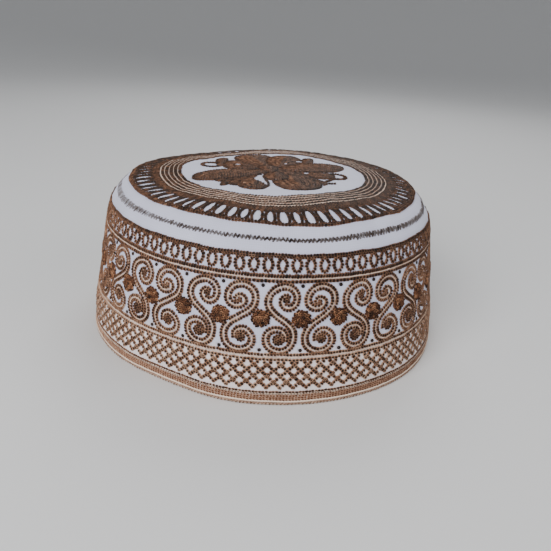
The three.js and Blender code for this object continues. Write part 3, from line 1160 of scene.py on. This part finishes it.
def inside_petal(points, petal):
    middle, way, side, half_long, half_wide = petal_frame(petal)
    along = (points - middle) @ way / half_long
    across = (points - middle) @ side / half_wide
    return np.hypot(along, across / (1 + PETAL_SWELL * along.clip(-1, 1))) < 1


def medallion():
    """The flower: petals filled by rows that follow their edges, each over the next."""
    rows = []
    for number, petal in enumerate(PETALS):
        inset = PETAL_EDGE
        while (line := petal_line(petal, inset)) is not None:
            first = inset == PETAL_EDGE
            tone = 0.08 if first else 0.34 + 0.14 * math.sin(2 * inset)
            row = stitch_row(line, 1.4, wide=1.5, rise=0.5 + 0.12 * first, tone=tone)
            for above in PETALS[:number]:
                row = row[~inside_petal(row[:, :2], above)]
            rows.append(row)
            inset += PETAL_ROW_STEP
    stitches = np.vstack(rows)
    for x, y, wide, tall, turn in FLOWER_GAPS:
        stitches = outside(stitches, x, y, wide / 2 + GAP_MARGIN, tall / 2 + GAP_MARGIN, turn)
    lines = []
    for x, y, radius, start, through in TENDRILS:
        turn = np.radians(start + np.linspace(0, through, 60))
        circle = np.column_stack([x + radius * np.cos(turn), y + radius * np.sin(turn)])
        lines.append(stitch_row(circle, 1.35, wide=2.5, rise=0.6, tone=0.1))
    lines.append(stitch_row(TAIL, 1.35, wide=2.1, rise=0.6, tone=0.02))
    embroidered("flower_stitches", unsteady(np.vstack([stitches, *lines])), from_crown)


# Stitches of the seam by angle: how wide they are laid, how thick the thread looks, and the
# tones of the strokes and of those that cross them
SEAM_LOOKS = [
    (-180, 3.0, 0.6, 0.5, 0.8),
    (-90, 3.9, 0.6, 0.85, 0.95),
    (-55, 3.6, 0.6, 0.7, 0.9),
    (-35, 2.8, 0.7, 0.5, 0.8),
    (-10, 2.5, 0.9, 0.4, 0.65),
    (8, 2.8, 1.0, 0.3, 0.5),
    (28, 3.3, 1.1, 0.4, 0.55),
    (60, 3.1, 0.85, 0.55, 0.85),
    (180, 3.0, 0.6, 0.5, 0.8),
]
SEAM_RADIUS = 78.3
SEAM_PITCH = 1.6
STROKE_HEADING = math.radians(62)
CROSSING_HEADING = math.radians(122)


def seam_stitches():
    """A zigzag of grey thread that joins the crown to the side band."""
    count = 2 * round(2 * math.pi * SEAM_RADIUS / SEAM_PITCH)
    angle = 360 * np.arange(count) / count - 180
    crossing = np.arange(count) % 2 == 1
    looks = np.array(SEAM_LOOKS)
    long, wide, tone, crossing_tone = (
        np.interp(angle, looks[:, 0], looks[:, k]) for k in (1, 2, 3, 4)
    )
    lay = stitch_table(
        np.radians(angle) * SEAM_RADIUS,
        0.0,
        np.where(crossing, CROSSING_HEADING, STROKE_HEADING),
        long,
        np.where(crossing, 0.8, 1.0) * wide,
        np.where(crossing, 0.3, 0.4),
        np.where(crossing, crossing_tone, tone),
    )

    def from_seam(x, y, proud):
        return on_cap(np.degrees(x / SEAM_RADIUS), distance_to("seam") + y, proud)

    lay = unsteady(lay, shift=0.12, turn=0.2)
    embroidered("seam_stitches", lay, from_seam, SEAM_THREAD)


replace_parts(side_cloth(), "side_band")
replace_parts(crown_cloth(), "crown_top")
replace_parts(hem_roll(), "hem_binding")
scrolls()
loop_band()
lattice()
lower_borders()
cream_lines()
eyelet_edges()
crown_ladder()
crown_rings()
medallion()
seam_stitches()


# Floor, light and camera

# In metres: the floor is level as far as FLOOR_FLAT, and rises to FLOOR_TOP at FLOOR_REACH
FLOOR_MIDDLE = 0.4
FLOOR_FLAT = 1.2
FLOOR_REACH = 5.0
FLOOR_TOP = 4.0
FLOOR_CURVE = 2.4
FLOOR_RINGS = 25
FLOOR_SIDES = 96

# Area lights: name, place, target, size and power
LIGHTS = [
    ("key", (-0.45, -0.75, 0.62), (0, 0, 0.04), 0.6, 11),
    ("fill", (0.8, -0.3, 0.5), (0, 0, 0.04), 0.7, 3),
    ("back", (0.1, 0.8, 0.9), (0, 0, 0.05), 0.7, 5),
]

# The photo's view
EYE = (0.0038, -0.2836, 0.1460)
EYE_TILT = math.radians(65.88)
EYE_ROLL = math.radians(3.70)
LENS_MM = 36.065


def floor():
    """A pale floor that is level round the cap and sweeps up all round, so no edge shows."""
    share = np.linspace(0, 1, FLOOR_RINGS)
    radius = FLOOR_FLAT + (FLOOR_REACH - FLOOR_FLAT) * share
    rings = [(FLOOR_MIDDLE, 0.0), *zip(radius, FLOOR_TOP * share**FLOOR_CURVE)]
    turn = 2 * math.pi * np.arange(FLOOR_SIDES) / FLOOR_SIDES
    points = [(r * math.cos(t), r * math.sin(t), h) for r, h in rings for t in turn]
    faces = [tuple(range(FLOOR_SIDES))]
    for first in range(0, FLOOR_SIDES * (len(rings) - 1), FLOOR_SIDES):
        for k in range(FLOOR_SIDES):
            after = first + (k + 1) % FLOOR_SIDES
            faces.append((first + k, first + k + FLOOR_SIDES, after + FLOOR_SIDES, after))
    mesh = bpy.data.meshes.new("floor")
    mesh.from_pydata(points, [], faces)
    mesh.polygons.foreach_set("use_smooth", np.ones(len(faces), bool))
    material, _, shader = nodes_of("floor")
    set_inputs(shader, {"Base Color": (0.72, 0.72, 0.72, 1), "Roughness": 0.7})
    mesh.materials.append(material)
    piece = new_object("floor", mesh)


def area_light(name, place, target, size, power):
    light = bpy.data.lights.new(name, "AREA")
    light.size = size
    light.energy = power
    lamp = new_object(name, light)
    way = np.array(target) - np.array(place)
    lamp.matrix_world = (
        Matrix.Translation(place) @ Vector(way).to_track_quat("-Z", "Y").to_matrix().to_4x4()
    )


def camera():
    lens = bpy.data.cameras.new("camera")
    lens.lens = LENS_MM
    lens.sensor_width = 36
    lens.clip_start = 0.01
    eye = new_object("camera", lens)
    eye.matrix_world = (
        Matrix.Translation(EYE) @ Matrix.Rotation(EYE_TILT, 4, "X")
        @ Matrix.Rotation(EYE_ROLL, 4, "Z")
    )
    bpy.context.scene.camera = eye


floor()
for row in LIGHTS:
    area_light(*row)
world = bpy.data.worlds.new("world")
world.use_nodes = True
set_inputs(
    world.node_tree.nodes["Background"], {"Color": (0.8, 0.82, 0.85, 1), "Strength": 0.4},
)
bpy.context.scene.world = world
camera()
